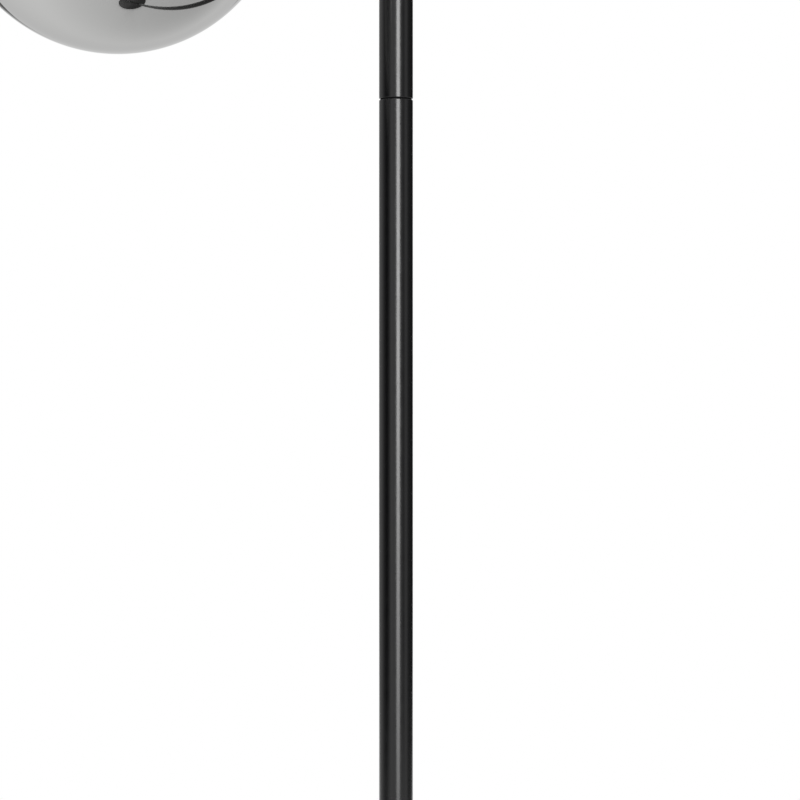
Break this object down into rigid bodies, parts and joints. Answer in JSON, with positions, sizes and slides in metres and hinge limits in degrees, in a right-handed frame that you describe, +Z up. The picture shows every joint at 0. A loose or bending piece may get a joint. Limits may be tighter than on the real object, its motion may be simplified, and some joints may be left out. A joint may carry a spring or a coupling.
{
  "type": "floor lamp",
  "caption": "Free-standing floor lamp: mirrored glass globes on short arms round a black jointed tube pole, with a round weighted base.",
  "frame": {"origin": "on the floor under the centre of the round base, on the pole's axis", "axes": "+Z up along the pole, -Y towards the front, where the low and middle globes stand to the left and right; the high globe stands at the back, +Y"},
  "size_m": [0.5094, 0.4665, 1.6455],
  "materials": {
    "black_powder_coat": "satin black powder coat, fine texture",
    "cast_iron": "rough casting, primed",
    "rubber_pad": "matte soft pad",
    "zinc_plated_steel": "bright zinc plate",
    "black_oxide_steel": "chemically blackened steel",
    "black_nylon": "moulded nylon",
    "black_aluminium": "black anodised",
    "silicone_seal": "translucent silicone",
    "mirrored_glass": "smoke glass with a mirror coating",
    "phenolic": "moulded phenolic",
    "brass_contact": "plain brass",
    "solder": "dull solder",
    "nickel_cap": "nickel plated",
    "clear_glass": "clear blown glass",
    "phosphor_rods": "glass stem with yellow phosphor rods"
  },
  "bodies": {
    "stand": {"base_cover": "black_powder_coat", "base_weight": "cast_iron", "base_pad": "rubber_pad", "foot_collar": "black_powder_coat", "foot_nipple": "zinc_plated_steel", "foot_washer": "zinc_plated_steel", "foot_nut": "zinc_plated_steel", "cord_gland": "black_nylon", "pole_cap": "black_powder_coat", "pole_section_1": "black_powder_coat", "pole_bush_1_lower": "black_oxide_steel", "pole_section_2": "black_powder_coat", "pole_bush_2_lower": "black_oxide_steel", "pole_section_3": "black_powder_coat", "pole_bush_3_lower": "black_oxide_steel", "pole_bush_1_upper": "black_oxide_steel", "seam_nipple_1": "zinc_plated_steel", "pole_bush_2_upper": "black_oxide_steel", "seam_nipple_2": "zinc_plated_steel", "arm_tube_low": "black_powder_coat", "arm_nut_low": "zinc_plated_steel", "cup_low": "black_powder_coat", "thread_ring_low": "black_aluminium", "lampholder_low": "phenolic", "socket_shell_low": "brass_contact", "socket_tongue_low": "brass_contact", "arm_tube_middle": "black_powder_coat", "arm_nut_middle": "zinc_plated_steel", "cup_middle": "black_powder_coat", "thread_ring_middle": "black_aluminium", "lampholder_middle": "phenolic", "socket_shell_middle": "brass_contact", "socket_tongue_middle": "brass_contact", "arm_tube_high": "black_powder_coat", "arm_nut_high": "zinc_plated_steel", "cup_high": "black_powder_coat", "thread_ring_high": "black_aluminium", "lampholder_high": "phenolic", "socket_shell_high": "brass_contact", "socket_tongue_high": "brass_contact"},
    "seal_low": {"globe_seal_low": "silicone_seal"},
    "globe_low": {"globe_low": "mirrored_glass"},
    "contact_low": {"lamp_tip_low": "solder"},
    "bulb_low": {"lamp_cap_low": "nickel_cap", "lamp_glass_low": "clear_glass", "lamp_rods_low": "phosphor_rods"},
    "seal_middle": {"globe_seal_middle": "silicone_seal"},
    "globe_middle": {"globe_middle": "mirrored_glass"},
    "contact_middle": {"lamp_tip_middle": "solder"},
    "bulb_middle": {"lamp_cap_middle": "nickel_cap", "lamp_glass_middle": "clear_glass", "lamp_rods_middle": "phosphor_rods"},
    "seal_high": {"globe_seal_high": "silicone_seal"},
    "globe_high": {"globe_high": "mirrored_glass"},
    "contact_high": {"lamp_tip_high": "solder"},
    "bulb_high": {"lamp_cap_high": "nickel_cap", "lamp_glass_high": "clear_glass", "lamp_rods_high": "phosphor_rods"}
  },
  "joints": [
    {"name": "globe_low_advance", "type": "slide", "parent": "stand", "child": "seal_low", "axis": [-0.866, -0.5, 0], "range_m": [0, 0.006]},
    {"name": "globe_low_unscrew", "type": "hinge", "parent": "seal_low", "child": "globe_low", "pos_m": [-0.08129, -0.04693, 1.176], "axis": [-0.866, -0.5, 0], "range_deg": [0, 540]},
    {"name": "bulb_low_advance", "type": "slide", "parent": "stand", "child": "contact_low", "axis": [-0.866, -0.5, 0], "range_m": [0, 0.0127]},
    {"name": "bulb_low_unscrew", "type": "hinge", "parent": "contact_low", "child": "bulb_low", "pos_m": [-0.06297, -0.03635, 1.176], "axis": [-0.866, -0.5, 0], "range_deg": [0, 1620]},
    {"name": "globe_middle_advance", "type": "slide", "parent": "stand", "child": "seal_middle", "axis": [0.866, -0.5, 0], "range_m": [0, 0.006]},
    {"name": "globe_middle_unscrew", "type": "hinge", "parent": "seal_middle", "child": "globe_middle", "pos_m": [0.08129, -0.04693, 1.3635], "axis": [0.866, -0.5, 0], "range_deg": [0, 540]},
    {"name": "bulb_middle_advance", "type": "slide", "parent": "stand", "child": "contact_middle", "axis": [0.866, -0.5, 0], "range_m": [0, 0.0127]},
    {"name": "bulb_middle_unscrew", "type": "hinge", "parent": "contact_middle", "child": "bulb_middle", "pos_m": [0.06297, -0.03635, 1.3635], "axis": [0.866, -0.5, 0], "range_deg": [0, 1620]},
    {"name": "globe_high_advance", "type": "slide", "parent": "stand", "child": "seal_high", "axis": [0, 1, 0], "range_m": [0, 0.006]},
    {"name": "globe_high_unscrew", "type": "hinge", "parent": "seal_high", "child": "globe_high", "pos_m": [0, 0.09387, 1.551], "axis": [0, 1, 0], "range_deg": [0, 540]},
    {"name": "bulb_high_advance", "type": "slide", "parent": "stand", "child": "contact_high", "axis": [0, 1, 0], "range_m": [0, 0.0127]},
    {"name": "bulb_high_unscrew", "type": "hinge", "parent": "contact_high", "child": "bulb_high", "pos_m": [0, 0.07271, 1.551], "axis": [0, 1, 0], "range_deg": [0, 1620]}
  ],
  "couplings": [
    {"joint": "globe_low_advance", "follows": "globe_low_unscrew", "m_per_rad": 0.00063662},
    {"joint": "bulb_low_unscrew", "follows": "bulb_low_advance", "rad_per_m": 2226.5},
    {"joint": "globe_middle_advance", "follows": "globe_middle_unscrew", "m_per_rad": 0.00063662},
    {"joint": "bulb_middle_unscrew", "follows": "bulb_middle_advance", "rad_per_m": 2226.5},
    {"joint": "globe_high_advance", "follows": "globe_high_unscrew", "m_per_rad": 0.00063662},
    {"joint": "bulb_high_unscrew", "follows": "bulb_high_advance", "rad_per_m": 2226.5}
  ]
}
